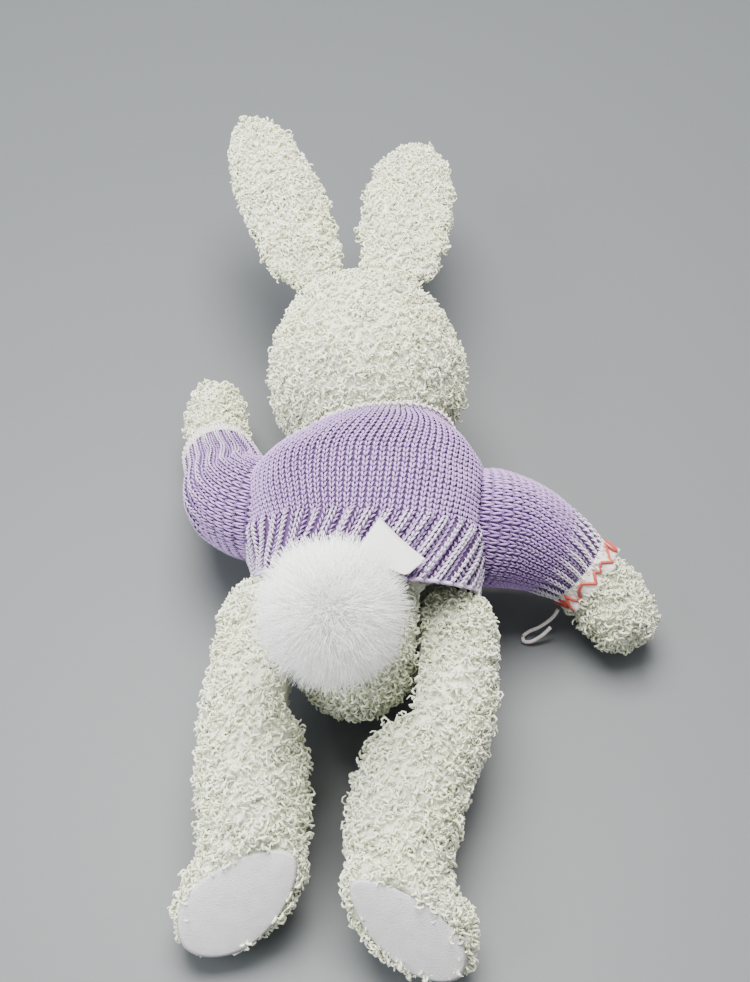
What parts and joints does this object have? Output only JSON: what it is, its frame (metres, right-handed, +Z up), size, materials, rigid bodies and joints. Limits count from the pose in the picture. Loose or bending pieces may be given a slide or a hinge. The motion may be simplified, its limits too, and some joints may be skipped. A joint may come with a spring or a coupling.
{
  "type": "plush rabbit",
  "caption": "Plush rabbit in a knitted jumper, lying on its front, with head, arms and legs that turn on disc joints, flopping ears and a long-fur tail.",
  "frame": {"origin": "the middle of the footprint on the table", "axes": "+Z up, away from the table; +Y from the seat to the head; +X to the rabbit's own right, since it lies on its front"},
  "size_m": [0.1922, 0.3732, 0.1069],
  "materials": {
    "plush": "curly looped plush, off-white",
    "suede": "short brushed suede cloth, white",
    "fur": "long straight fur, white",
    "jumper": "lilac knit, plain back with a ribbed hem",
    "binding": "cream overlocked edge",
    "filling": "polyester fibre filling",
    "pellet_cloth": "woven bag of pellets",
    "joint_plastic": "moulded joint discs, washers and lock rings",
    "eye_plastic": "glossy black safety eyes",
    "nose_thread": "satin-stitched thread",
    "satin": "white satin ribbon, no print"
  },
  "bodies": {
    "trunk": {"trunk_cover": "plush", "trunk_stuffing": "filling", "pellet_bag": "pellet_cloth", "jumper_body": "jumper", "jumper_neck_binding": "binding", "neck_washer": "joint_plastic", "tail_fur": "fur", "tail_core": "filling", "care_label": "satin", "left_shoulder_washer": "joint_plastic", "left_hip_washer": "joint_plastic", "right_shoulder_washer": "joint_plastic", "right_hip_washer": "joint_plastic"},
    "head": {"head_cover": "plush", "head_stuffing": "filling", "neck_disc": "joint_plastic", "neck_lock_ring": "joint_plastic", "left_eye": "eye_plastic", "right_eye": "eye_plastic", "left_eye_washer": "joint_plastic", "right_eye_washer": "joint_plastic", "nose": "nose_thread"},
    "left_ear": {"left_ear_back": "plush", "left_ear_lining": "suede"},
    "right_ear": {"right_ear_back": "plush", "right_ear_lining": "suede"},
    "left_arm": {"left_arm_cover": "plush", "left_arm_stuffing": "filling", "left_shoulder_disc": "joint_plastic", "left_shoulder_lock_ring": "joint_plastic", "left_sleeve": "jumper", "left_cuff_binding": "binding"},
    "right_arm": {"right_arm_cover": "plush", "right_arm_stuffing": "filling", "right_shoulder_disc": "joint_plastic", "right_shoulder_lock_ring": "joint_plastic", "right_sleeve": "jumper", "right_cuff_binding": "binding", "right_cuff_yarn_end": "binding"},
    "left_leg": {"left_leg_cover": "plush", "left_leg_stuffing": "filling", "left_foot_pad": "suede", "left_hip_disc": "joint_plastic", "left_hip_lock_ring": "joint_plastic"},
    "right_leg": {"right_leg_cover": "plush", "right_leg_stuffing": "filling", "right_foot_pad": "suede", "right_hip_disc": "joint_plastic", "right_hip_lock_ring": "joint_plastic"}
  },
  "joints": [
    {"name": "neck_turn", "type": "hinge", "parent": "trunk", "child": "head", "pos_m": [-0.01397, 0.00708, 0.043], "axis": [-0.2419, 0.9703, 0], "range_deg": [-60, 60]},
    {"name": "left_ear_flop", "type": "hinge", "parent": "head", "child": "left_ear", "pos_m": [-0.04546, 0.0755, 0.055], "axis": [0.9135, 0.4067, 0], "range_deg": [-30, 30], "stiffness_Nm_per_rad": 0.08},
    {"name": "right_ear_flop", "type": "hinge", "parent": "head", "child": "right_ear", "pos_m": [-0.01441, 0.08324, 0.055], "axis": [1, -0.0087, 0], "range_deg": [-30, 30], "stiffness_Nm_per_rad": 0.08},
    {"name": "left_shoulder_swing", "type": "hinge", "parent": "trunk", "child": "left_arm", "pos_m": [-0.05097, -0.02592, 0.0415], "axis": [1, 0, 0], "range_deg": [-120, 45]},
    {"name": "right_shoulder_swing", "type": "hinge", "parent": "trunk", "child": "right_arm", "pos_m": [0.02303, -0.02592, 0.0415], "axis": [1, 0, 0], "range_deg": [-60, 120]},
    {"name": "left_hip_swing", "type": "hinge", "parent": "trunk", "child": "left_leg", "pos_m": [-0.03577, -0.07392, 0.036], "axis": [1, 0, 0], "range_deg": [-20, 80]},
    {"name": "right_hip_swing", "type": "hinge", "parent": "trunk", "child": "right_leg", "pos_m": [0.00783, -0.07392, 0.036], "axis": [1, 0, 0], "range_deg": [-20, 80]}
  ]
}
